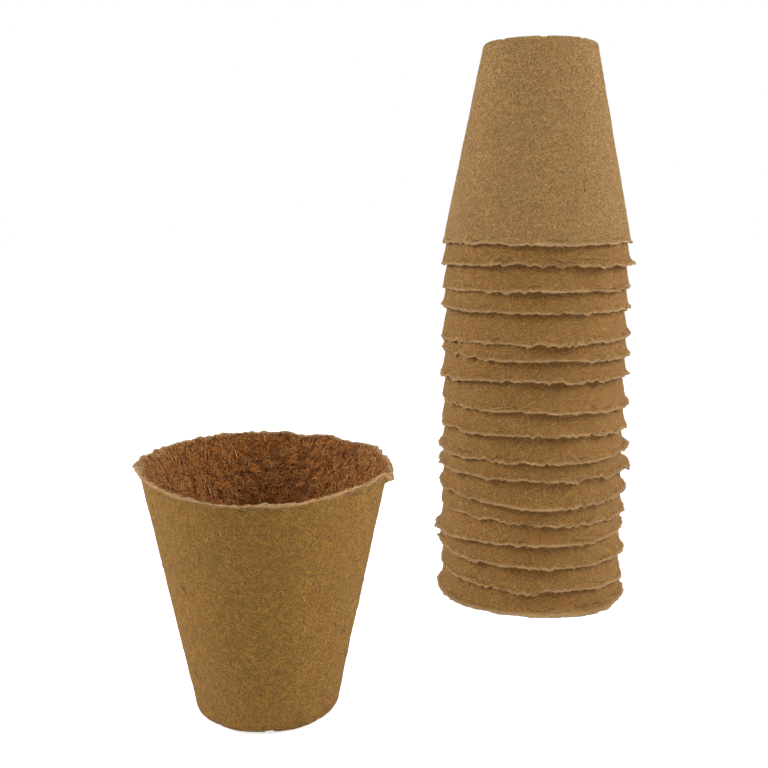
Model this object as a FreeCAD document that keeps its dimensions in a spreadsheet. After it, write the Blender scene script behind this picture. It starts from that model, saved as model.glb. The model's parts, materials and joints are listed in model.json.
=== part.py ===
import FreeCAD, Part
import math
import os

# A set of moulded peat pots: one stands upright, and seventeen are nested upside down in a
# column behind it. All come out of one mould, and each has its own torn rim. A pot's own
# frame has its axis on Z, its underside at zero and its mouth at the top.
# The set's frame has +Z up, +X to the right and -Y to the front, with its origin on the
# ground in the middle of the space that the set takes.

doc = FreeCAD.newDocument("peat_pots")

# Driving sizes, in millimetres and degrees.
driving_sizes = {
    # the moulded cup: radii to the outside of the wall, at the mouth and at the underside
    "mouth_radius": 40.0,
    "base_radius": 23.6,
    "pot_height": 82.0,
    "wall_thickness": 1.3,
    "floor_thickness": 1.8,
    "heel_size": 2.0,
    # the flared rim, and how deep its edge is torn
    "flare_depth": 4.2,
    "flare_reach": 3.4,
    "tear_depth": 3.2,
    # small drain nicks across the heel
    "nick_width": 2.4,
    "nick_height": 1.2,
    "nick_length": 3.2,
    "nick_count": 8,
    # the wall is made of flat facets, which keeps eighteen pots light
    "facet_count": 40,
    # the set: the slack between two nested walls, and the way from the upright pot to the column
    "nesting_slack": 0.25,
    "column_to_the_right": 105.0,
    "column_to_the_back": 121.0,
    "upright_turn": 2.5,
    # how far a cutter runs past what it cuts
    "overrun": 1.0,
}

# Sizes that follow from the driving ones.
derived_sizes = {
    "taper": "=(mouth_radius - base_radius) / pot_height",
    "slant": "=sqrt(1 + taper * taper)",
    "heel_rise": "=heel_size / slant",
    "heel_widening": "=heel_rise * taper",
    "level_wall": "=wall_thickness * slant",
    "floor_corner": "=base_radius + floor_thickness * taper - level_wall",
    "flare_level": "=pot_height - flare_depth",
    "flare_root": "=base_radius + flare_level * taper",
    "rim_radius": "=flare_root + flare_reach",
    "flare_slope": "=flare_reach / flare_depth",
    "flare_slant": "=sqrt(1 + flare_slope * flare_slope)",
    "inner_flare_rise": "=wall_thickness * (flare_slant - slant) / (flare_slope - taper)",
    "inner_flare_root": "=flare_root + inner_flare_rise * taper - level_wall",
    "open_rim_radius": "=rim_radius + overrun * flare_slope - wall_thickness * flare_slant",
    "facet_angle": "=360 / facet_count",
    "seat_step": "=(wall_thickness + nesting_slack) * slant / taper",
    "clear_step": "=flare_depth + nesting_slack",
    "nest_step": "=max(seat_step; clear_step)",
}

sheet = doc.addObject("Spreadsheet::Sheet", "sizes")
for row, (name, value) in enumerate({**driving_sizes, **derived_sizes}.items(), start=1):
    sheet.set(f"A{row}", name)
    sheet.set(f"B{row}", str(value))
    sheet.setAlias(f"B{row}", name)
doc.recompute()

# How deep the torn edge bites at each number of waves round the rim, as shares of the tear's depth.
upright_tear_shares = {2: 0.50, 5: 0.26, 9: 0.24}
stacked_tear_shares = {3: 0.40, 5: 0.32, 8: 0.28}

# Each nested pot sits a little higher than its tightest seat on the pot beneath it, because no
# two moulded walls are alike. The shares are of the nesting step, from the ground up.
seat_shares = [1.23, 1.34, 1.16, 1.15, 1.00, 1.27, 1.00, 1.42, 1.27, 1.45, 1.15, 1.00, 1.45, 1.06, 1.38, 1.01]


def bind(thing, **expressions):
    """Tie properties of an object to expressions over the sheet's aliases."""
    for path, text in expressions.items():
        thing.setExpression(path.replace("__", "."), text)
    return thing


def size(alias):
    return float(sheet.get(alias))


def ring(name, radius, level):
    """A level ring of facets round the axis, whose corners lie at the radius."""
    wire = doc.addObject("Part::RegularPolygon", name)
    return bind(wire, Polygon="sizes.facet_count", Circumradius=radius, Placement__Base__z=level)


def flat_facet(corners):
    return Part.Face(Part.makePolygon(corners + corners[:1]))


def skin(name, rings):
    """The closed body inside a row of rings, with flat facets from each to the next."""
    doc.recompute()
    corners = [[vertex.Point for vertex in wire.Shape.OrderedVertexes] for wire in rings]
    facets = [flat_facet(corners[0]), flat_facet(corners[-1])]
    for lower, upper in zip(corners, corners[1:]):
        for index in range(len(lower)):
            before = index - 1
            facets.append(flat_facet([lower[before], lower[index], upper[index], upper[before]]))
    shell = Part.makeShell(facets)
    shell.sewShape()
    solid = Part.makeSolid(shell)
    if solid.Volume < 0:
        solid.reverse()
    body = doc.addObject("Part::Feature", name)
    body.Shape = solid
    return body


def cut(name, base, tool):
    result = doc.addObject("Part::Cut", name)
    result.Base = base
    result.Tool = tool
    return result


def outer_form():
    """The cup from outside: underside, bevelled heel, tapered wall and flared rim."""
    return skin("outer_form", [
        ring("underside_ring", "sizes.base_radius - sizes.heel_size", "0"),
        ring("heel_ring", "sizes.base_radius + sizes.heel_widening", "sizes.heel_rise"),
        ring("flare_ring", "sizes.flare_root", "sizes.flare_level"),
        ring("rim_ring", "sizes.rim_radius", "sizes.pot_height"),
    ])


def hollow_form():
    """The inside of the cup, one wall in from the outside, with the same heel and flare."""
    return skin("hollow_form", [
        ring("floor_ring", "sizes.floor_corner - sizes.heel_size", "sizes.floor_thickness"),
        ring("inner_heel_ring", "sizes.floor_corner + sizes.heel_widening",
             "sizes.floor_thickness + sizes.heel_rise"),
        ring("inner_flare_ring", "sizes.inner_flare_root", "sizes.flare_level + sizes.inner_flare_rise"),
        ring("open_rim_ring", "sizes.open_rim_radius", "sizes.pot_height + sizes.overrun"),
    ])


def heel_nicks():
    """Small drain nicks across the heel, each in the middle of a facet, as one tool."""
    start = "(sizes.base_radius - sizes.nick_length)"
    nicks = []
    for index in range(int(size("nick_count"))):
        turn = f"({index} * 360 / sizes.nick_count + sizes.facet_angle / 2)"
        nick = doc.addObject("Part::Box", f"nick_{index}")
        nicks.append(bind(
            nick,
            Length="sizes.nick_length + sizes.overrun",
            Width="sizes.nick_width",
            Height="sizes.nick_height + sizes.overrun",
            Placement__Rotation__Angle=turn,
            Placement__Base__x=f"{start} * cos({turn}) + sizes.nick_width / 2 * sin({turn})",
            Placement__Base__y=f"{start} * sin({turn}) - sizes.nick_width / 2 * cos({turn})",
            Placement__Base__z="-sizes.overrun",
        ))
    tool = doc.addObject("Part::MultiFuse", "heel_nicks")
    tool.Shapes = nicks
    return tool


def moulded_cup():
    """The cup as it leaves the mould, before its rim is torn."""
    shell = cut("plain_shell", outer_form(), hollow_form())
    return cut("moulded_cup", shell, heel_nicks())


def torn_outline(name, tear_shares, seed):
    """The rim's torn edge from above: waves between the full rim and the depth of the tear."""
    facets = int(size("facet_count"))
    corners = []
    for index in range(facets):
        angle = 2 * math.pi * index / facets
        wave = sum(share * math.cos(waves * (angle + seed)) for waves, share in tear_shares.items())
        reach = size("rim_radius") - size("tear_depth") * (1 + wave) / 2
        corners.append(FreeCAD.Vector(reach * math.cos(angle), reach * math.sin(angle), 0))
    outline = doc.addObject("Part::Feature", f"{name}_outline")
    outline.Shape = Part.makePolygon(corners + corners[:1])
    return outline


def pot(name, cup, tear_shares, seed):
    """One pot: the moulded cup, inside an upright column of its torn outline."""
    column = doc.addObject("Part::Extrusion", f"{name}_column")
    column.Base = torn_outline(name, tear_shares, seed)
    column.DirMode = "Custom"
    column.Dir = FreeCAD.Vector(0, 0, 1)
    column.Solid = True
    bind(column, LengthFwd="sizes.pot_height + sizes.overrun")
    piece = doc.addObject("Part::Common", name)
    piece.Base = cup
    piece.Tool = column
    piece.Label = name
    return piece


cup = moulded_cup()

upright = pot("upright_pot", cup, upright_tear_shares, 0.0)
bind(
    upright,
    Placement__Base__x="-sizes.column_to_the_right / 2",
    Placement__Base__y="-sizes.column_to_the_back / 2",
    Placement__Rotation__Angle="sizes.upright_turn",
)

# A stacked pot is turned over about the X axis, so its mouth is below and its underside on top.
golden_turn = math.radians(137.5)
pots = [upright]
raised_share = 0.0
for number, share in enumerate([0.0] + seat_shares, start=1):
    raised_share += share
    stacked = pot(f"stack_pot_{number:02d}", cup, stacked_tear_shares, number * golden_turn)
    stacked.Placement = FreeCAD.Placement(FreeCAD.Vector(), FreeCAD.Rotation(FreeCAD.Vector(1, 0, 0), 180))
    bind(
        stacked,
        Placement__Base__x="sizes.column_to_the_right / 2",
        Placement__Base__y="sizes.column_to_the_back / 2",
        Placement__Base__z=f"sizes.pot_height + sizes.nest_step * {raised_share:.2f}",
    )
    pots.append(stacked)

doc.recompute()

for thing in doc.Objects:
    if {"Invalid", "Error"} & set(thing.State):
        raise RuntimeError(f"{thing.Name} failed: {thing.State}")
for piece in pots:
    if piece.Shape.isNull() or not piece.Shape.isValid() or len(piece.Shape.Solids) != 1:
        raise RuntimeError(f"{piece.Label} is not one sound solid")

os.makedirs("parts", exist_ok=True)
for piece in pots:
    piece.Shape.exportStep(f"parts/{piece.Label}.step")
print(f"{len(pots)} pots, nesting step {size('nest_step'):.2f} mm")
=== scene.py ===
# %% [markdown]
# A set of moulded peat pots. One pot stands upright in front, and seventeen more are nested
# upside down in a column behind it. Each pot is one thin shell of wet peat and wood fibre
# that was sucked onto a mesh mould and dried, so it has a smooth felted outside, a coarse
# tangled inside and a torn rim. This script dresses a finished CAD model of the set: it loads
# that model as a fixed frame, and every pot that it makes takes the place of one CAD pot.

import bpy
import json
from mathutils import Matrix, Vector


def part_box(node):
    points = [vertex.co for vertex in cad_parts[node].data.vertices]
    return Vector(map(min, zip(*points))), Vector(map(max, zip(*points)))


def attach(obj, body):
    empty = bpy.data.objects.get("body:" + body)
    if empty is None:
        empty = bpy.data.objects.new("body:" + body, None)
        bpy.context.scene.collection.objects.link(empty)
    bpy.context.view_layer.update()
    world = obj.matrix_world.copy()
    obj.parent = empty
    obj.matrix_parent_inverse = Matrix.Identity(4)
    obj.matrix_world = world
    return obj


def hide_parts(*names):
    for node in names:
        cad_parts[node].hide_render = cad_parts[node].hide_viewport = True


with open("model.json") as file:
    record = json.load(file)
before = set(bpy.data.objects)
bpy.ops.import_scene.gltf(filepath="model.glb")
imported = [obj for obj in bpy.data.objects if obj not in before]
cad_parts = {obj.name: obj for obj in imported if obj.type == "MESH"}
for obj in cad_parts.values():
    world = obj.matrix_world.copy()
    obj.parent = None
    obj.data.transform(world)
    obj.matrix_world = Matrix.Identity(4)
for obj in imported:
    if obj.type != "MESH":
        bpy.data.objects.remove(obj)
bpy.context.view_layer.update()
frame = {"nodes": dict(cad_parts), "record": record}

# %% [markdown]
# Meshes are made with bmesh operators, and tears and lumps come from Blender's noise. A scene
# is measured in metres, but a pot is easier to think of in millimetres. So every mesh is made
# in millimetres, and it is scaled once, when it is moved to its place.

# %% Tools used below
import bpy
import bmesh
import json
import math
import random
from mathutils import Matrix, Vector, noise

millimetre = 0.001
full_turn = 2 * math.pi
print("Blender", bpy.app.version_string)

# %% [markdown]
# Sizes come first. The heights and the places of the pots are read from the frame, because
# the finish has to sit exactly where the CAD pots are. The mould's own sizes are written
# once, and everything about a pot is worked out in its own upright position: axis on Z,
# underside at zero, mouth at the top.

# %% The mould's sizes, in millimetres
pot_height = (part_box("upright_pot")[1][2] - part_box("upright_pot")[0][2]) / millimetre
mouth_radius = 40.0
base_radius = 23.6
wall = 1.3
floor = 1.8
heel_rounding = 2.6
tight_heel_rounding = 1.5
lip_length = 4.8

taper = (mouth_radius - base_radius) / pot_height
level_wall = wall * math.sqrt(1 + taper * taper)
lip_root = pot_height - lip_length


def wall_radius(level):
    """The radius to the outside of the wall at a level above the underside."""
    return base_radius + taper * level


print(f"pot {pot_height:.1f} mm high, lip starts at {lip_root:.1f} mm, taper {taper:.3f}")

# %% [markdown]
# The upright pot stands where the part has its mount. The set's origin lies half way between
# the two groups, so the column is on the other side of it.

# %% Where each pot stands
base_mount = frame["record"]["mounts"][0]["pos_m"]
upright_axis = Vector(base_mount[:2]) / millimetre
column_axis = -upright_axis
stack_names = sorted(name for name in frame["nodes"] if name.startswith("stack_pot_"))
bottom_name = stack_names[0]
top_name = stack_names[-1]
print("upright pot at", tuple(upright_axis), "and column at", tuple(column_axis))

# %% [markdown]
# A pot is a turned shape, so half of its cross-section is drawn as a wire and spun round the
# axis. The wire runs from the middle of the underside, round the heel, up the wall to the
# rim and back down the inside to the middle of the floor. Bevelling the two floor corners
# rounds the heel inside and out. Two numbers travel with each point from here on: "side" is
# 1 outside, -1 inside and passes through 0 across the torn edge, and "lip" runs from 0 at the
# lip's root to 1 at its edge. The wire is cut into short rows where a pot shows, and into long
# ones where the other pots hide it.

# %% The cross-section
heel_segments = 5
fine_band = 18.0


def cross_section(rounding, band_row, outer_row, inner_row, lip_row, edge_row):
    """The wire of a pot's half section. The rows are lengths, and the band lies just below the lip."""
    mesh = bmesh.new()
    side = mesh.verts.layers.float.new("side")
    lip = mesh.verts.layers.float.new("lip")
    band_start = lip_root - fine_band
    corners = [
        (0.0, 0.0, 1, 0),
        (base_radius, 0.0, 1, 0),
        (wall_radius(band_start), band_start, 1, 0),
        (wall_radius(lip_root), lip_root, 1, 0),
        (wall_radius(pot_height), pot_height, 1, 1),
        (wall_radius(pot_height) - level_wall, pot_height, -1, 1),
        (wall_radius(lip_root) - level_wall, lip_root, -1, 0),
        (wall_radius(floor) - level_wall, floor, -1, 0),
        (0.0, floor, -1, 0),
    ]
    points = []
    for radius, level, point_side, point_lip in corners:
        point = mesh.verts.new((radius, 0.0, level))
        point[side] = point_side
        point[lip] = point_lip
        points.append(point)
    for pair in zip(points, points[1:]):
        mesh.edges.new(pair)
    bmesh.ops.bevel(mesh, geom=[points[1], points[7]], offset=rounding, offset_type="OFFSET",
                    segments=heel_segments, profile=0.5, affect="VERTICES", material=-1)
    for edge in mesh.edges[:]:
        start, end = edge.verts
        if start[lip] + end[lip] == 2:
            row = edge_row
        elif start[lip] + end[lip] > 0:
            row = lip_row
        elif start[side] < 0:
            row = inner_row
        else:
            row = band_row if min(start.co.z, end.co.z) > band_start - 1 else outer_row
        pieces = round(edge.calc_length() / row)
        if pieces > 1:
            bmesh.ops.subdivide_edges(mesh, edges=[edge], cuts=pieces - 1)
    return mesh


fine_section = cross_section(
    heel_rounding, band_row=0.9, outer_row=0.9, inner_row=0.8, lip_row=0.5, edge_row=0.3)
exposed_section = cross_section(
    tight_heel_rounding, band_row=1.0, outer_row=1.0, inner_row=12.0, lip_row=0.6, edge_row=0.35)
nested_section = cross_section(
    heel_rounding, band_row=1.5, outer_row=8.0, inner_row=12.0, lip_row=0.6, edge_row=0.35)
print("points:", [len(section.verts) for section in (fine_section, exposed_section, nested_section)])

# %% [markdown]
# The rim is where no two pots are alike. The wet fibre is torn off along the mould's edge,
# which leaves a thin lip that flares out, curls, hangs and frays. Noise that is read round a
# circle closes on itself, so a sum of slow and fast waves of it makes a ragged edge with no
# seam.

# %% Noise round the rim
seed_spacing = 7.31


def waves(angle, count, seed):
    """Smooth noise round the rim, between about -1 and 1, with so many waves in a turn."""
    radius = count / full_turn
    return noise.noise(Vector((radius * math.cos(angle), radius * math.sin(angle), seed * seed_spacing)))


def sum_of_waves(angle, rows, seed):
    """The sum of the rows (waves in a turn, height in millimetres, which noise)."""
    return sum(height * waves(angle, count, seed + which) for count, height, which in rows)


def smooth(start, end, value):
    """0 up to start, 1 from end on, and an even step between them, either way round."""
    share = min(max((value - start) / (end - start), 0.0), 1.0)
    return share * share * (3 - 2 * share)


def all_round(angle, left, front, right, back):
    """Blends four values smoothly round the pot. The front faces -Y and the right +X."""
    east = max(0.0, math.cos(angle)) ** 2
    west = max(0.0, -math.cos(angle)) ** 2
    north = max(0.0, math.sin(angle)) ** 2
    south = max(0.0, -math.sin(angle)) ** 2
    return left * west + front * south + right * east + back * north


def flap(angle, middle, width):
    """A bump of height 1 round a middle angle, both in degrees, that dies out past the width."""
    away = (math.degrees(angle) - middle + 180) % 360 - 180
    return math.exp(-(away / width) ** 2)


print("left, front, right and back blend at 45 degrees to", round(all_round(full_turn / 8, 1, 2, 3, 4), 2))

# %% [markdown]
# Each pot has its own reach and droop to the left, front, right and back, read off the
# photograph's outline, and a few flaps where that outline has a bump. Slow waves bend the
# whole lip. Fast ones tear its edge, more in some stretches than in others.

# %% The torn rim
bends_outward = [(8, 0.8, 0)]
tears_outward = [(21, 0.9, 1), (55, 0.9, 2)]
bends_upward = [(6, 0.9, 3), (15, 0.7, 4)]
tears_upward = [(48, 0.8, 5), (105, 0.55, 6), (185, 0.6, 7)]
torn_stretches = 9
least_tearing = 0.35
extra_tearing = 1.1
ground_gap = 0.3
ground_waves = [(60, 0.25, 8)]
first_pull = 0.40
second_pull = 0.90
torn_thickness = 0.7
edge_fray = 0.35


class Rim:
    """The torn rim of one pot: how far its edge reaches out past the wall, and how high it ends.

    Reach and droop are in millimetres to the left, front, right and back, and the bulge is
    the wall's swelling to the right. Each flap is (middle angle, width, outward, upward).
    """

    def __init__(self, seed, reach, droop, ragged=1.0, bulge=0.0, flaps=(), turned=False, grounded=False):
        self.seed = seed
        self.reach = reach
        self.droop = droop
        self.ragged = ragged
        self.bulge = bulge
        self.flaps = flaps
        self.turned = turned
        self.grounded = grounded
        self.known = {}

    def edge(self, angle):
        """(outward, upward) from the lip's root to the middle of its torn edge, in millimetres."""
        place = round(angle, 4)
        if place not in self.known:
            self.known[place] = self.tear(-place if self.turned else place)
        return self.known[place]

    def tear(self, seen):
        """The same at an angle as the photograph shows the pot, and worked out afresh."""
        torn_here = smooth(-0.2, 0.35, waves(seen, torn_stretches, self.seed + 9))
        tearing = self.ragged * (least_tearing + extra_tearing * torn_here)
        out = all_round(seen, *self.reach)
        out += self.ragged * sum_of_waves(seen, bends_outward, self.seed)
        out += tearing * sum_of_waves(seen, tears_outward, self.seed)
        up = lip_length + all_round(seen, *self.droop)
        up += self.ragged * sum_of_waves(seen, bends_upward, self.seed)
        up += tearing * sum_of_waves(seen, tears_upward, self.seed)
        for middle, width, flap_out, flap_up in self.flaps:
            out += flap_out * flap(seen, middle, width)
            up += flap_up * flap(seen, middle, width)
        if self.grounded:
            up = min(up, lip_length - ground_gap + sum_of_waves(seen, ground_waves, self.seed))
        return out, up

    def point(self, angle, along, across):
        """(radius, level) of a point of the lip, on a cubic curve from its root to its edge.

        Along runs from 0 at the root to 1 at the edge, and across from -1 inside to 1 outside.
        """
        out, up = self.edge(angle)
        first = Vector((taper * up, up)) * first_pull
        second = Vector((taper * up, up)) * second_pull
        tip = Vector((out, up))
        rest = 1 - along
        middle = 3 * along * rest * rest * first + 3 * along * along * rest * second + along ** 3 * tip
        forward = rest * rest * first + 2 * along * rest * (second - first) + along * along * (tip - second)
        forward.normalize()
        outward = Vector((forward.y, -forward.x))
        thickness = wall + (torn_thickness - wall) * along
        fray = edge_fray * (1 - across * across) * along ** 8
        offset = middle + outward * (across * thickness / 2) + forward * fray
        root = wall_radius(lip_root) - level_wall / 2
        return root + offset.x, lip_root + offset.y


plain_rim = Rim(seed=1, reach=(1, 1, 1, 1), droop=(0, 0, 0, 0))
print("edge of a plain rim:", [round(value, 2) for value in plain_rim.edge(0.0)])

# %% [markdown]
# Spinning a wire gives a perfect cup. Three are spun: a fine one for the upright pot, one for
# the pot on top of the column, which shows its whole outside, and one that all the pots
# beneath it share, because they come out of one mould.

# %% Spin the cups


def spun(section, steps):
    """The closed shell of a section, spun round Z in that many steps."""
    bmesh.ops.spin(section, geom=section.verts[:] + section.edges[:], cent=(0, 0, 0), axis=(0, 0, 1),
                   dvec=(0, 0, 0), angle=full_turn, steps=steps, use_merge=True)
    bmesh.ops.remove_doubles(section, verts=section.verts, dist=0.001)
    bmesh.ops.recalc_face_normals(section, faces=section.faces)
    print(len(section.faces), "faces in a cup, closed:", all(edge.is_manifold for edge in section.edges))
    return section


fine_cup = spun(fine_section, 380)
exposed_cup = spun(exposed_section, 400)
nested_cup = spun(nested_section, 400)

# %% [markdown]
# Each pot starts as a copy of a cup, and then its lip is bent to its torn rim. Two more
# numbers are noted on the way, for the materials: "pale" is high where the lip flares far
# out, and the inside is painted paler there, partly as dry fibre and partly as painted light
# on the upturned lip, and "depth" is how far a point lies below the mouth.

# %% Bend the lip
pale_from = 2.0
pale_fully = 3.3


def polar(point):
    return math.hypot(point.x, point.y), math.atan2(point.y, point.x)


def on_circle(radius, level, angle):
    return Vector((radius * math.cos(angle), radius * math.sin(angle), level))


def bend_lip(mesh, rim):
    """Moves the lip of a cup to a torn rim, and notes how pale and how deep each point is."""
    side = mesh.verts.layers.float["side"]
    lip = mesh.verts.layers.float["lip"]
    pale = mesh.verts.layers.float.new("pale")
    depth = mesh.verts.layers.float.new("depth")
    for vertex in mesh.verts:
        vertex[depth] = pot_height - vertex.co.z
        if vertex[lip] > 0:
            angle = polar(vertex.co)[1]
            # Paler where the lip flares far out: partly dry fibre, partly painted light on the upturned
            # lip.
            vertex[pale] = vertex[lip] * smooth(pale_from, pale_fully, rim.edge(angle)[0])
            vertex.co = on_circle(*rim.point(angle, vertex[lip], vertex[side]), angle)


def lean_out(mesh, bulge):
    """Swells the wall to the right (+X) by so many millimetres at the mouth, as the mould left it."""
    for vertex in mesh.verts:
        radius, angle = polar(vertex.co)
        if radius > 0:
            share = max(0.0, math.cos(angle)) * smooth(0.0, pot_height, vertex.co.z) * radius / mouth_radius
            vertex.co.x += bulge * share


print("middle of a plain lip's edge:", tuple(round(value, 2) for value in plain_rim.point(0.0, 1.0, 0.0)))

# %% [markdown]
# Small drain nicks are pressed across the heel from below. Those of the column's pots are
# shallow, since the photograph hardly shows them there. The surface is then roughened. The
# outside lay against the mould's mesh and is nearly even, and the inside is lumpy. These
# lumps are real geometry, and finer fibre is left to the bump in the materials.

# %% Nicks and lumps
nick_count = 8
nick_width = 2.8
nick_length = 3.2
nick_height = 1.2
worn_nick_height = 0.5
nick_side = 0.25
nick_end = 0.8
upright_nick_turn = math.radians(7.0)
stacked_nick_turn = math.radians(4.5)
outside_lumps = [(0.20, 8.0), (0.10, 2.4)]
inside_lumps = [(0.50, 5.0), (0.70, 2.4), (0.30, 1.3)]
lump_shift = (13.7, 5.1, 9.3)


def press_nicks(mesh, turn, height):
    """Presses the drain nicks across the heel, the first of them at that turn about the axis."""
    side = mesh.verts.layers.float["side"]
    pitch = full_turn / nick_count
    start = base_radius - nick_length
    for vertex in mesh.verts:
        radius, angle = polar(vertex.co)
        if vertex[side] < 1 or vertex.co.z > 3 * height or radius < start - nick_length:
            continue
        across = abs((angle - turn + pitch / 2) % pitch - pitch / 2) * radius
        inside = smooth(nick_width / 2 + nick_side, nick_width / 2 - nick_side, across)
        inside *= smooth(start - nick_end, start, radius)
        vertex.co.z = max(vertex.co.z, height * inside)


def lump(point, seed, outside):
    """How far the surface stands proud at a point, from rows of (height, width) in millimetres."""
    place = point + Vector([seed * shift for shift in lump_shift])
    rows = outside_lumps if outside else inside_lumps
    return sum(height * noise.noise(place / width) for height, width in rows)


def roughen(mesh, seed, calm):
    """Moves every point along its normal by its lump. Calm scales them all."""
    side = mesh.verts.layers.float["side"]
    mesh.normal_update()
    for vertex in mesh.verts:
        vertex.co += vertex.normal * lump(vertex.co, seed, vertex[side] > 0) * calm


print("a lump inside:", round(lump(on_circle(mouth_radius, lip_root, 0.0), 1, False), 2), "mm")

# %% [markdown]
# Loose fibre is what tells peat from plastic. Straws lie on the walls, half sunk in the felt,
# rolls of felt lie along the torn edge, and short hairs stand out of it. Each strand is a
# thin three-sided tube. One straight strand is made and doubled until there are enough, side
# by side in a row, and then each one is bent along its own short path.

# %% A bundle of straight strands
strand_sides = 3
strand_cuts = 3
straight_radius = 0.1
slimmest_share = 0.35
nudge = 0.02


def bundle(count):
    """A row of straight strands of unit length on Z, one every unit along X."""
    mesh = bmesh.new()
    bmesh.ops.create_cone(mesh, cap_ends=True, segments=strand_sides, radius1=straight_radius,
                          radius2=straight_radius, depth=1.0)
    long_edges = [edge for edge in mesh.edges if abs(edge.verts[0].co.z - edge.verts[1].co.z) > 0.5]
    bmesh.ops.subdivide_edges(mesh, edges=long_edges, cuts=strand_cuts)
    made = 1
    while made < count:
        copied = bmesh.ops.duplicate(mesh, geom=mesh.verts[:] + mesh.edges[:] + mesh.faces[:])
        copies = [item for item in copied["geom"] if isinstance(item, bmesh.types.BMVert)]
        bmesh.ops.translate(mesh, verts=copies, vec=(made, 0, 0))
        made *= 2
    spare = [vertex for vertex in mesh.verts if vertex.co.x > count - 0.5]
    bmesh.ops.delete(mesh, geom=spare, context="VERTS")
    return mesh


def bend_strands(mesh, strands):
    """Bends strand number n of a bundle along path n, where strands lists (path, thickness)."""
    for vertex in mesh.verts:
        number = round(vertex.co.x)
        path, thickness = strands[number]
        along = vertex.co.z + 0.5
        forward = (path(along + nudge) - path(along - nudge)).normalized()
        first = forward.orthogonal().normalized()
        second = forward.cross(first)
        swell = math.sin(math.pi * min(max(along, 0.0), 1.0))
        slim = thickness / 2 / straight_radius * (slimmest_share + (1 - slimmest_share) * swell)
        vertex.co = path(along) + (first * (vertex.co.x - number) + second * vertex.co.y) * slim


print("a strand has", strand_sides * (strand_cuts + 1) + 2, "faces")

# %% [markdown]
# Straws come in a few lengths and thicknesses and lie at any slant. A path follows the wall
# and its lumps, and rises a little in its middle. It is drawn from its pot's own source of
# random numbers, so the same pot gets the same strands each time.

# %% Straws on the wall
straw_lengths = (1.8, 2.5, 3.5, 5.0)
straw_thicknesses = (0.14, 0.22, 0.32)
straw_rise = 0.34
straw_sink = 0.07
outside_share = 0.3


def wall_straw(draw, rim, outside):
    """A curled straw that lies on the wall and the lip."""
    level = draw.uniform(floor + 3, lip_root if outside else pot_height)
    start = draw.uniform(0, full_turn)
    heading = draw.uniform(0, math.pi)
    length = draw.choice(straw_lengths) * draw.uniform(0.7, 1.2)
    curl = draw.uniform(-1.1, 1.1)
    facing = 1 if outside else -1

    def path(along):
        turned = heading + curl * (along - 0.5) * length / 2
        reach = (along - 0.5) * length
        up = level + reach * math.sin(turned)
        angle = start + reach * math.cos(turned) / mouth_radius
        if up > lip_root:
            radius, up = rim.point(angle, min(1.0, (up - lip_root) / lip_length), facing)
        else:
            radius = wall_radius(up) - (0 if outside else level_wall)
        proud = (straw_rise * math.sin(math.pi * along) - straw_sink) * (outside_share if outside else 1)
        proud += lump(on_circle(radius, up, angle), rim.seed, outside)
        return on_circle(radius + facing * proud, up, angle)

    return path, draw.choice(straw_thicknesses)


plain_straw = wall_straw(random.Random(1), plain_rim, False)[0]
print("a plain rim's straw spans", round((plain_straw(1.0) - plain_straw(0.0)).length, 2), "mm")

# %% [markdown]
# Where the lip was torn off, its edge folded over in rolls, and single fibres were pulled out
# of it as hairs. A roll runs along the lip, just off one of its faces. A hair starts in the
# edge, leaves it at any slant and curls a little.

# %% Rolls and hairs on the torn edge
roll_offsets = (-1.4, -1.1, 1.1, 1.3, 1.5)


def edge_roll(draw, rim):
    """A roll of felt that lies along the lip, where the torn edge folded over."""
    start = draw.uniform(0, full_turn)
    length = draw.uniform(2.5, 9) / mouth_radius
    across = draw.choice(roll_offsets)
    along_lip = draw.uniform(0.2, 1.0) if across < 0 else draw.uniform(0.55, 1.0)
    wander = draw.uniform(-0.3, 0.15)

    def path(along):
        angle = start + along * length
        place = along_lip + wander * math.sin(math.pi * along) + 0.10 * waves(angle, 70, rim.seed + 10)
        return on_circle(*rim.point(angle, place, across), angle)

    return path, draw.uniform(0.12, 0.28)


def edge_hair(draw, rim):
    """A short hair that stands out of the torn edge."""
    angle = draw.uniform(0, full_turn)
    root = on_circle(*rim.point(angle, 0.9, 0.0), angle)
    tip = on_circle(*rim.point(angle, 1.0, 0.0), angle)
    sideways = Vector((-math.sin(angle), math.cos(angle), 0)) * draw.uniform(-1.2, 1.2)
    forward = (tip - root).normalized() + sideways + Vector((0, 0, draw.uniform(-0.5, 0.5)))
    length = draw.uniform(0.7, 2.2)
    curl = Vector((draw.uniform(-1, 1), draw.uniform(-1, 1), draw.uniform(-0.6, 0.6))) * 0.35

    def path(along):
        return root + forward.normalized() * along * length + curl * along * along

    return path, draw.uniform(0.06, 0.13)


plain_hair = edge_hair(random.Random(1), plain_rim)[0]
print("a plain rim's hair is", round((plain_hair(1.0) - plain_hair(0.0)).length, 2), "mm long")

# %% [markdown]
# Materials come next. All of them read the object's own coordinates in millimetres, so a
# fibre is as thick as it is on the real pot, and nothing slides when a pot is lifted. Python
# expressions are turned into shader nodes by one small class.

# %% A class for shader maths


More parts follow.
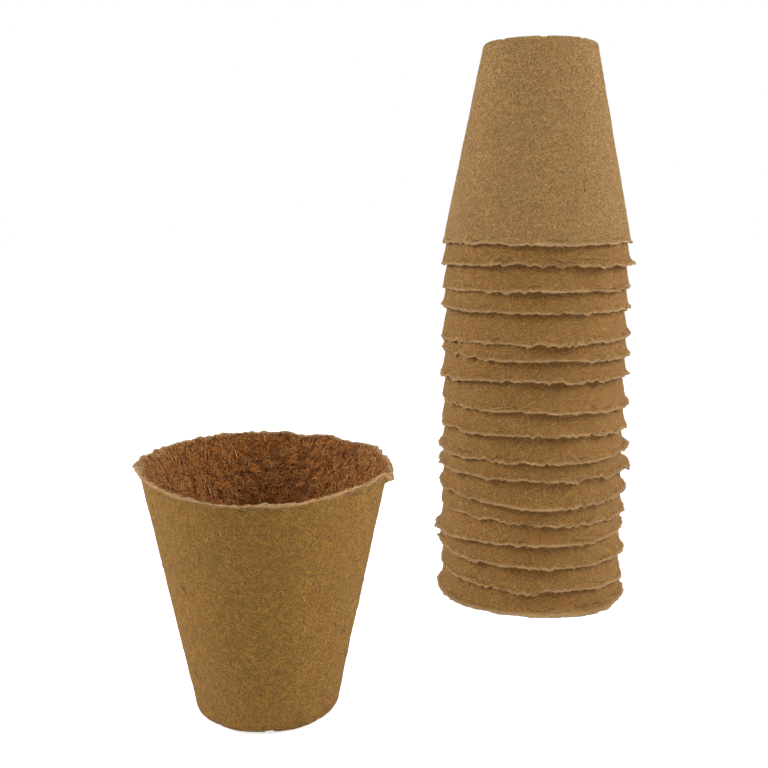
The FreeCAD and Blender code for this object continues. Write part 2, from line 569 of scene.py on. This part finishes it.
class Paint:
    """One socket of a material, which + - and * work on, and node() leads on from."""

    def __init__(self, tree, socket):
        self.tree = tree
        self.socket = socket

    def node(self, kind, settings=None, inputs=None, take=0):
        """A new node of that kind, with settings first, then values or links for its sockets."""
        made = self.tree.nodes.new(kind)
        for name, value in (settings or {}).items():
            setattr(made, name, value)
        for name, value in (inputs or {}).items():
            if isinstance(value, Paint):
                self.tree.links.new(value.socket, made.inputs[name])
            else:
                made.inputs[name].default_value = value
        return Paint(self.tree, made.outputs[take])

    def math(self, operation, first, second=0.0):
        return self.node("ShaderNodeMath", {"operation": operation}, {0: first, 1: second})

    def __add__(self, other):
        return self.math("ADD", self, other)

    def __radd__(self, other):
        return self.math("ADD", other, self)

    def __sub__(self, other):
        return self.math("SUBTRACT", self, other)

    def __rsub__(self, other):
        return self.math("SUBTRACT", other, self)

    def __mul__(self, other):
        return self.math("MULTIPLY", self, other)

    def __rmul__(self, other):
        return self.math("MULTIPLY", other, self)

    def clipped(self):
        return self.node("ShaderNodeClamp", inputs={0: self})

    def step(self, start, end):
        """A smooth step from 0 at start to 1 at end."""
        ranges = {"Value": self, "From Min": start, "From Max": end}
        return self.node("ShaderNodeMapRange", {"interpolation_type": "SMOOTHSTEP"}, ranges)

    def mix(self, low, high):
        """The colour that goes from low to high as this value goes from 0 to 1.

        A Mix node's sockets share their names, so they go by number: 6 and 7 are its colours
        in, and 2 is its colour out.
        """
        return self.node("ShaderNodeMix", {"data_type": "RGBA"}, {0: self, 6: low, 7: high}, take=2)


print("shader maths:", [name for name in vars(Paint) if not name.startswith("_")])

# %% [markdown]
# Every material starts out the same way. A new one comes with its shader, and the object's
# coordinates are turned into millimetres for all that follows.

# %% A new material


def new_material(name):
    """A material with only its shader left, and the object's coordinates in millimetres."""
    material = bpy.data.materials.new(name)
    material.use_nodes = True
    tree = material.node_tree
    start = Paint(tree, tree.nodes.new("ShaderNodeTexCoord").outputs["Object"])
    place = start.node("ShaderNodeVectorMath", {"operation": "SCALE"}, {0: start, "Scale": 1 / millimetre})
    return material, tree.nodes["Principled BSDF"], place


def connect(tree, value, socket):
    tree.links.new(value.socket, socket)


def colour(red, green, blue):
    return (red, green, blue, 1.0)


print("a colour is written as", colour(1.0, 0.5, 0.25))

# %% [markdown]
# Noise gives the soft patches of colour and the grain. The same noise can push coordinates
# about, and then whatever is drawn on them curls. What the mesh knows about each point, such
# as how near it is to the torn edge, comes in as an attribute.

# %% Patches, curls and attributes


def cloud(place, size, detail=2.0, take="Fac"):
    """Soft patches of about that size."""
    inputs = {"Vector": place, "Scale": 1 / size, "Detail": detail}
    return place.node("ShaderNodeTexNoise", inputs=inputs, take=take)


def curled(place, size, amount):
    """The same coordinates, pushed about by slow noise, so that what follows them curls."""
    slow = cloud(place, size, detail=1.0, take="Color")
    centred = place.node("ShaderNodeVectorMath", {"operation": "SUBTRACT"}, {0: slow, 1: (0.5, 0.5, 0.5)})
    pushed = {0: centred, 1: (amount, amount, amount), 2: place}
    return place.node("ShaderNodeVectorMath", {"operation": "MULTIPLY_ADD"}, pushed)


def attribute(place, name):
    """A number that the mesh carries from point to point."""
    return place.node("ShaderNodeAttribute", {"attribute_name": name}, take="Fac")


print("a cup's points carry", fine_cup.verts.layers.float.keys())

# %% [markdown]
# Felt is a tangle of fibres that run every way. Noise that is stretched along one direction
# makes streaks, and the thin ridges where it passes through its middle value look like
# single fibres. Six directions, the axes of a twenty-sided solid, cover every face of the pot
# evenly, so the walls, the floor and the lip all show fibres, and no seam is left anywhere.

# %% Fibres and flecks
golden = (1 + math.sqrt(5)) / 2
fibre_axes = [Vector(axis) for axis in (
    (0, 1, golden), (0, -1, golden), (1, golden, 0), (-1, golden, 0), (golden, 0, 1), (golden, 0, -1))]


def laid_along(place, axis, width, length, seed):
    """Coordinates whose unit is the width across an axis and the length along it."""
    turn = axis.to_track_quat("Z", "Y").to_euler()
    shift = (seed * 3.7, seed * 1.9, seed * 5.3)
    settings = {"Location": shift, "Rotation": turn, "Scale": (width, width, length)}
    return place.node("ShaderNodeMapping", {"vector_type": "TEXTURE"}, {"Vector": place, **settings})


def tangle(place, width, length, sharpness, seed):
    """A felt of single fibres, 1 on a fibre and 0 between them."""
    felt = None
    for number, axis in enumerate(fibre_axes):
        grain = cloud(laid_along(place, axis, width, length, seed + number), 1.0, detail=1.0)
        ridge = (1 - place.math("ABSOLUTE", grain - 0.5) * sharpness).clipped()
        felt = ridge if felt is None else place.math("MAXIMUM", felt, ridge)
    return felt


def flecks(place, spacing, length, size, seed):
    """Scattered short straws: 1 in a fleck and 0 elsewhere."""
    found = None
    for number, axis in enumerate(fibre_axes[::2]):
        laid = laid_along(place, axis, spacing, spacing * length, seed + number)
        cell = place.node("ShaderNodeTexVoronoi", inputs={"Vector": laid, "Scale": 1.0})
        straw = cell.step(size, size * 0.55)
        found = straw if found is None else place.math("MAXIMUM", found, straw)
    return found


print("fibres run along", len(fibre_axes), "axes")

# %% [markdown]
# Every felt is dull. A little sheen stands for the fine hairs that catch light at a slant.

# %% What all felts share


def finish_felt(material, shader, place, paint, height, depth, roughness):
    """Joins a felt's colour, roughness and relief to its shader. The relief's depth is in millimetres."""
    tree = material.node_tree
    relief = {"Height": height, "Distance": depth * millimetre, "Strength": 1.0}
    connect(tree, paint, shader.inputs["Base Color"])
    connect(tree, roughness, shader.inputs["Roughness"])
    connect(tree, place.node("ShaderNodeBump", inputs=relief), shader.inputs["Normal"])
    shader.inputs["Specular IOR Level"].default_value = 0.15
    shader.inputs["Sheen Weight"].default_value = 0.14
    shader.inputs["Sheen Roughness"].default_value = 0.45
    shader.inputs["Sheen Tint"].default_value = colour(1.0, 0.85, 0.66)
    print(material.name, "has", len(tree.nodes), "nodes")


# %% [markdown]
# Outside, the pot was pressed against a fine mesh, so the fibres lie flat and close. The
# colour is a yellow tan that drifts to olive and to red over patches as big as a thumb, with
# fine light and dark fibres, a few pale straws and dark specks of peat. Just below the lip,
# the nested pots most of all are painted redder and darker, partly a stain and partly painted
# shade under the lip that hangs over them. Short cracks run along the lip, with painted shade
# in them, and its torn edge is dry and clearly paler. The attributes "lip" and "depth" say
# where all this lies.

# %% The pressed outside
# The redder brown of the patches under a lip: partly a stain, partly painted shade.
stain_and_shade_red = colour(0.330, 0.125, 0.036)
long_straw = colour(0.56, 0.38, 0.18)
short_straw = colour(0.58, 0.42, 0.22)
peat_speck = colour(0.07, 0.032, 0.012)
crack_shadow = colour(0.16, 0.065, 0.016)
dark_shares = (0.46, 0.48, 0.56)
light_shares = (1.56, 1.66, 2.45)


def pressed_outside(name, tan, olive, red, dry, stain_and_shade_amount):
    """An outside in tan, olive and red, with a dry edge. The last argument scales the redder, darker
    patches under the lip, which are partly a stain and partly painted shade.
    """
    material, shader, place = new_material(name)
    lip = attribute(place, "lip")
    depth = attribute(place, "depth")
    dark = colour(*[share * value for share, value in zip(dark_shares, tan)])
    light = colour(*[share * value for share, value in zip(light_shares, tan)])
    soft = curled(place, 3.0, 0.8)
    pale_fibres = tangle(soft, 0.9, 6.0, 24.0, 1).step(0.1, 0.8)
    dark_gaps = tangle(soft, 1.1, 4.5, 22.0, 11).step(0.2, 0.8)
    grain = cloud(place, 0.6, 3.0)
    paint = cloud(place, 14.0).step(0.38, 0.62).mix(tan, olive)
    paint = (cloud(place, 9.0, 3.0).step(0.50, 0.68) * 0.8).mix(paint, red)
    # Redder, darker patches a few millimetres below the mouth, under the lip that hangs over: partly a
    # stain, partly painted shade.
    stain_and_shade_under_lip = depth.step(4.0, 11.0) * cloud(place, 24.0).step(0.42, 0.62) * stain_and_shade_amount
    paint = stain_and_shade_under_lip.mix(paint, stain_and_shade_red)
    paint = (grain.step(0.58, 0.39) * 0.74).mix(paint, dark)
    paint = (dark_gaps * 0.40).mix(paint, dark)
    paint = (pale_fibres * 0.54).mix(paint, light)
    paint = (flecks(place, 2.2, 6.0, 0.09, 21) * 0.55).mix(paint, long_straw)
    paint = (flecks(place, 7.0, 3.0, 0.05, 26) * 0.65).mix(paint, short_straw)
    paint = (flecks(place, 3.2, 1.3, 0.07, 31) * 0.6).mix(paint, peat_speck)
    crack = (1 - place.math("ABSOLUTE", lip + cloud(place, 5.0) * 0.8 - 0.95) * 12.0).clipped()
    crack = crack * cloud(place, 8.0).step(0.53, 0.60)
    paint = (crack * 0.6).mix(paint, crack_shadow)
    torn = (lip + grain * 0.40 - 0.20).step(0.72, 0.98)
    paint = (torn * 0.9).mix(paint, dry)
    height = pale_fibres * 0.6 - dark_gaps * 0.4 + grain * 0.8 - crack * 1.5
    roughness = grain.step(0.2, 0.8) * 0.12 + 0.80
    finish_felt(material, shader, place, paint, height, 0.32, roughness)
    return material


upright_outside = pressed_outside(
    "peat_outside", tan=colour(0.392, 0.184, 0.024), olive=colour(0.347, 0.186, 0.030),
    red=colour(0.376, 0.143, 0.021), dry=colour(0.84, 0.49, 0.22), stain_and_shade_amount=0.15)
nested_outside = pressed_outside(
    "peat_outside_nested", tan=colour(0.402, 0.191, 0.037), olive=colour(0.365, 0.193, 0.043),
    red=colour(0.380, 0.153, 0.031), dry=colour(0.60, 0.37, 0.165), stain_and_shade_amount=0.75)
paler_outside = pressed_outside(
    "peat_outside_paler", tan=colour(0.447, 0.238, 0.062), olive=colour(0.410, 0.237, 0.064),
    red=colour(0.441, 0.209, 0.056), dry=colour(0.62, 0.39, 0.18), stain_and_shade_amount=0.0)

# %% [markdown]
# Inside, nothing pressed the fibres flat. They are longer, curled and crossed, with hollows
# between them that are painted nearly black as shade, and the colour is a redder brown, with
# single straws that catch the light.

# %% The rough inside
inside_browns = colour(0.148, 0.041, 0.008), colour(0.175, 0.063, 0.011)
# Nearly black painted shade for the hollows between the fibres.
hollow_shade = colour(0.012, 0.003, 0.001)
hair_brown = colour(0.66, 0.260, 0.062)
rope_brown = colour(0.60, 0.220, 0.048)
grain_dark = colour(0.030, 0.009, 0.002)
inside_straw = colour(0.50, 0.33, 0.16)
# Paler colour of the dry torn edge, and of the far-flared lip, which is partly dry fibre and partly painted
# light.
dry_edge_and_lit_flare = colour(0.60, 0.39, 0.19)


def rough_inside():
    material, shader, place = new_material("peat_inside")
    lip = attribute(place, "lip")
    pale = attribute(place, "pale")
    soft = curled(place, 3.0, 2.2)
    hairs = tangle(soft, 1.6, 8.0, 15.0, 3)
    ropes = tangle(soft, 3.0, 12.0, 12.0, 13)
    grain = cloud(place, 0.9, 3.0)
    hollow = (1 - hairs * 0.7 - ropes * 0.7).clipped()
    paint = cloud(place, 10.0).step(0.36, 0.64).mix(*inside_browns)
    # Painted shade in the hollows between the fibres.
    paint = (hollow * grain.step(0.70, 0.48)).mix(paint, hollow_shade)
    paint = (hairs.step(0.3, 0.8) * 0.80).mix(paint, hair_brown)
    paint = (ropes.step(0.4, 0.9) * 0.75).mix(paint, rope_brown)
    paint = (grain.step(0.56, 0.40) * 0.55).mix(paint, grain_dark)
    paint = (flecks(place, 5.0, 5.0, 0.06, 23) * 0.7).mix(paint, inside_straw)
    torn = (lip + grain * 0.4 - 0.2).step(0.78, 1.0)
    # Paler where the lip flares far out: partly dry fibre, partly painted light on the upturned lip.
    dry_and_lit_flare = (pale + grain * 0.5 - 0.25).step(0.30, 0.75)
    paint = place.math("MAXIMUM", torn * 0.8, dry_and_lit_flare * 0.8).mix(paint, dry_edge_and_lit_flare)
    height = hairs * 0.5 + ropes * 0.8 + grain * 0.6
    finish_felt(material, shader, place, paint, height, 0.8, hollow * 0.1 + 0.85)
    return material


inside_felt = rough_inside()

# %% [markdown]
# Strands carry one number each, "tint", that sets them between a dark and a light colour.

# %% Loose straw and folded felt


def strand_material(name, dark, light):
    material, shader, place = new_material(name)
    tint = attribute(place, "tint") + cloud(place, 1.5) * 0.3 - 0.15
    finish_felt(material, shader, place, tint.mix(dark, light), cloud(place, 0.4), 0.08, tint * 0.1 + 0.8)
    return material


loose_fibre = strand_material("peat_straw", colour(0.16, 0.048, 0.012), colour(1.0, 0.54, 0.20))
folded_felt = strand_material("peat_folded_edge", colour(0.38, 0.205, 0.075), colour(0.64, 0.40, 0.18))

# %% [markdown]
# Now the pots are made. Each mesh is moved to its place in the frame, and a pot of the column
# is turned over first. The mesh carries the place, and the object stays at the origin. Where
# a pot stands on the ground, nothing of it may reach below.

# %% Put a mesh in its place


def put_in_place(mesh, name, part, rim, materials):
    """Moves a mesh, made in a pot's own millimetres, to that pot's place and lets it ride there."""
    axis = column_axis if rim.turned else upright_axis
    lowest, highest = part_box(name)
    for vertex in mesh.verts:
        if rim.grounded:
            vertex.co.z = min(vertex.co.z, pot_height)
        elif not rim.turned:
            vertex.co.z = max(vertex.co.z, 0.0)
    if rim.turned:
        bmesh.ops.rotate(mesh, verts=mesh.verts, cent=(0, 0, 0), matrix=Matrix.Rotation(math.pi, 3, "X"))
    bmesh.ops.scale(mesh, verts=mesh.verts, vec=(millimetre, millimetre, millimetre))
    rest = highest[2] if rim.turned else lowest[2]
    bmesh.ops.translate(mesh, verts=mesh.verts, vec=(axis.x * millimetre, axis.y * millimetre, rest))
    for face in mesh.faces:
        face.smooth = True
    data = bpy.data.meshes.new(f"{name}_{part}")
    mesh.to_mesh(data)
    mesh.free()
    for material in materials:
        data.materials.append(material)
    piece = bpy.data.objects.new(f"{name}_{part}", data)
    bpy.context.scene.collection.objects.link(piece)
    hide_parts(name)
    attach(piece, name)
    data.calc_loop_triangles()
    return len(data.loop_triangles)


column_height = (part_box(top_name)[1][2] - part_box(bottom_name)[0][2]) / millimetre
print(f"the column is {column_height:.1f} mm high")

# %% [markdown]
# A pot is two pieces. The shell is a copy of its cup, bent, pressed and roughened as above,
# and a face takes the inside's material where its corners lie inside. The strands are one
# bundle. Rolls come first in it, so that they can be given the folded felt's colour.

# %% Make a shell and its strands


def make_shell(name, rim, cup, calm, outside):
    """The moulded shell that stands for a CAD pot, made from a copy of a perfect cup."""
    mesh = cup.copy()
    bend_lip(mesh, rim)
    lean_out(mesh, rim.bulge)
    if rim.turned:
        press_nicks(mesh, stacked_nick_turn, worn_nick_height)
    else:
        press_nicks(mesh, upright_nick_turn, nick_height)
    roughen(mesh, rim.seed, calm)
    side = mesh.verts.layers.float["side"]
    for face in mesh.faces:
        face.material_index = 1 if sum(corner[side] for corner in face.verts) < 0 else 0
    return put_in_place(mesh, name, "pulp", rim, (outside, inside_felt))


def make_fibres(name, rim, inner, outer, hairs, rolls):
    """The loose strands of a pot: so many straws inside and outside, hairs and rolls."""
    draw = random.Random(rim.seed)
    strands = [edge_roll(draw, rim) for _ in range(rolls)]
    strands += [edge_hair(draw, rim) for _ in range(hairs)]
    strands += [wall_straw(draw, rim, False) for _ in range(inner)]
    strands += [wall_straw(draw, rim, True) for _ in range(outer)]
    tints = [draw.uniform(0.3, 1.0) for _ in range(rolls + hairs)]
    tints += [draw.random() ** 1.1 for _ in range(inner + outer)]
    tubes = bundle(len(strands))
    tint = tubes.verts.layers.float.new("tint")
    for vertex in tubes.verts:
        vertex[tint] = tints[round(vertex.co.x)]
    for face in tubes.faces:
        face.material_index = 1 if round(face.verts[0].co.x) < rolls else 0
    bend_strands(tubes, strands)
    lean_out(tubes, rim.bulge)
    return put_in_place(tubes, name, "fibres", rim, (loose_fibre, folded_felt))


print(2 * len(frame["nodes"]), "pieces will stand for", len(frame["nodes"]), "CAD pots")

# %% [markdown]
# The upright pot shows the most, so it has the finest shell and thousands of straws inside.
# Its lip is less ragged than the others, stands high at the back and has a torn flap that
# hangs down at the right.

# %% The upright pot
upright_flaps = (
    (190, 8, 0.7, 0.3), (204, 9, 0.3, 0.0), (-6, 7, 1.2, -4.6), (17, 5, 0.0, -0.8), (30, 12, 0.3, 0.8),
    (50, 7, 0.0, -0.8), (75, 5, -0.4, -1.0),
)
upright_rim = Rim(seed=3, reach=(3.0, 1.2, 2.2, 1.6), droop=(3.0, -1.5, 2.0, 4.1),
                  ragged=0.5, bulge=0.9, flaps=upright_flaps)
triangles = make_shell("upright_pot", upright_rim, fine_cup, 1.0, upright_outside)
triangles += make_fibres("upright_pot", upright_rim, inner=6600, outer=200, hairs=260, rolls=200)
print("upright pot:", triangles, "triangles")

# %% [markdown]
# The column's rims follow the photograph: how far each lip stands out past the wall to the
# left, front, right and back, and how far it hangs below its mouth, both in millimetres, from
# the ground up. The bottom pot stands on its rim, and its lip spreads wider there.

# %% The column
column_reaches = [
    (2.8, 4.4, 2.6, 2.2), (1.2, 1.6, 2.1, 1.5), (2.2, 1.8, 2.2, 1.5), (3.9, 1.8, 1.5, 1.8),
    (0.6, 1.5, 2.4, 1.4), (2.4, 2.1, 3.4, 1.6), (2.5, 1.8, 4.2, 1.5), (2.1, 1.9, 3.2, 1.7),
    (2.2, 1.6, 2.4, 1.6), (1.0, 1.7, 2.9, 1.5), (1.9, 1.5, 2.5, 1.8), (1.6, 1.7, 2.6, 1.5),
    (1.2, 2.0, 2.7, 1.4), (1.7, 1.6, 2.3, 1.7), (1.0, 1.8, 1.6, 1.5), (1.5, 1.7, 3.7, 1.6),
    (1.1, 1.5, 1.8, 1.5),
]
column_droops = [
    (0.0, 0.0, 0.0, 0.0), (-1.6, 0.3, 2.0, 0.6), (-0.8, 0.3, 1.2, 0.4), (2.2, 0.3, -1.2, 0.8),
    (0.1, 0.2, 0.9, 0.3), (-1.6, 1.1, -1.4, 0.6), (-0.5, 0.2, -0.6, 0.3), (0.2, 0.2, -1.6, 0.7),
    (0.8, 0.3, 1.2, 0.4), (0.1, 0.6, 1.2, 0.6), (1.5, -0.4, 0.5, 0.5), (-0.2, 0.2, 0.5, 0.4),
    (1.4, 1.2, -0.6, 0.6), (0.0, -0.2, 0.1, 0.4), (0.4, 0.0, -0.8, 0.5), (1.0, 0.2, 1.2, 0.4),
    (-0.4, 0.2, 0.0, 0.4),
]
bottom_flaps = ((-58, 22, 2.0, 0.0), (215, 20, 0.9, 0.0))
column_calm = 0.7
total = 0
for number, name in enumerate(stack_names):
    at_bottom = name == bottom_name
    on_top = name == top_name
    rim = Rim(seed=20 + 11 * number, reach=column_reaches[number], droop=column_droops[number],
              flaps=bottom_flaps if at_bottom else (), turned=True, grounded=at_bottom)
    cup = exposed_cup if on_top else nested_cup
    outside = paler_outside if on_top else nested_outside
    total += make_shell(name, rim, cup, column_calm, outside)
    total += make_fibres(name, rim, inner=0, outer=60, hairs=140, rolls=80)
print("column:", total, "triangles")

# %% [markdown]
# The photograph is a cut-out on white. The floor is white too and glows for the camera
# alone, so only a faint shadow is left on it. The world is white wherever the camera sees
# it, and dimmer as a light.

# %% Floor and world
floor_material, floor_shader, floor_place = new_material("studio_floor")
floor_shader.inputs["Base Color"].default_value = colour(0.86, 0.86, 0.86)
floor_shader.inputs["Roughness"].default_value = 1.0
floor_shader.inputs["Specular IOR Level"].default_value = 0.0
floor_shader.inputs["Emission Strength"].default_value = 0.72
glow = floor_place.node("ShaderNodeLightPath", take="Is Camera Ray").mix(colour(0, 0, 0), colour(1, 1, 1))
connect(floor_material.node_tree, glow, floor_shader.inputs["Emission Color"])
bpy.ops.mesh.primitive_plane_add(size=8.0, location=(0, 0, 0))
studio_floor = bpy.context.object
studio_floor.name = "studio_floor"
studio_floor.data.materials.append(floor_material)

fill_level = 0.38
world = bpy.data.worlds.new("studio_world")
bpy.context.scene.world = world
world.use_nodes = True
sky = world.node_tree
background = sky.nodes["Background"]
background.inputs["Color"].default_value = colour(1, 1, 1)
seen = Paint(sky, sky.nodes.new("ShaderNodeLightPath").outputs["Is Camera Ray"])
glossy = seen.node("ShaderNodeLightPath", take="Is Glossy Ray")
through = seen.node("ShaderNodeLightPath", take="Is Transmission Ray")
strength = (seen + glossy + through).clipped() * (1 - fill_level) + fill_level
connect(sky, strength, background.inputs["Strength"])
print("floor is", studio_floor.dimensions.x, "m wide, and the world lights with", fill_level)

# %% [markdown]
# Two soft lamps light both sides of the pots, the right one a little more.

# %% Lamps
middle_of_set = (0, 0, 0.1)
lamp_size = 0.6


def soft_lamp(name, place, watts):
    """A square lamp, turned towards the middle of the set."""
    lamp = bpy.data.lights.new(name, "AREA")
    lamp.size = lamp_size
    lamp.energy = watts
    holder = bpy.data.objects.new(name, lamp)
    bpy.context.scene.collection.objects.link(holder)
    holder.location = place
    holder.rotation_euler = (Vector(middle_of_set) - Vector(place)).to_track_quat("-Z", "Y").to_euler()
    print(name, "at", place, "with", watts, "W")


soft_lamp("left_lamp", (-0.95, -0.15, 0.70), 9.0)
soft_lamp("right_lamp", (0.95, -0.15, 0.70), 9.5)

# %% [markdown]
# The camera stands where the photograph's did: a fit of both groups of pots gave its place,
# its slight downward tilt and its lens.

# %% Camera
camera_place = (-0.0128, -0.4140, 0.1686)
looks_down = 9.30
camera_data = bpy.data.cameras.new("camera")
camera_data.lens = 51.4
camera_data.sensor_width = 36.0
camera = bpy.data.objects.new("camera", camera_data)
bpy.context.scene.collection.objects.link(camera)
camera.location = camera_place
camera.rotation_euler = (math.radians(90 - looks_down), 0, 0)
bpy.context.scene.camera = camera
bpy.context.scene.view_settings.view_transform = "Standard"
print("camera stands at", camera_place, "and looks down by", looks_down, "degrees")

# %% [markdown]
# The finish's box may pass the CAD model's by a few millimetres, as far as the torn lips reach.
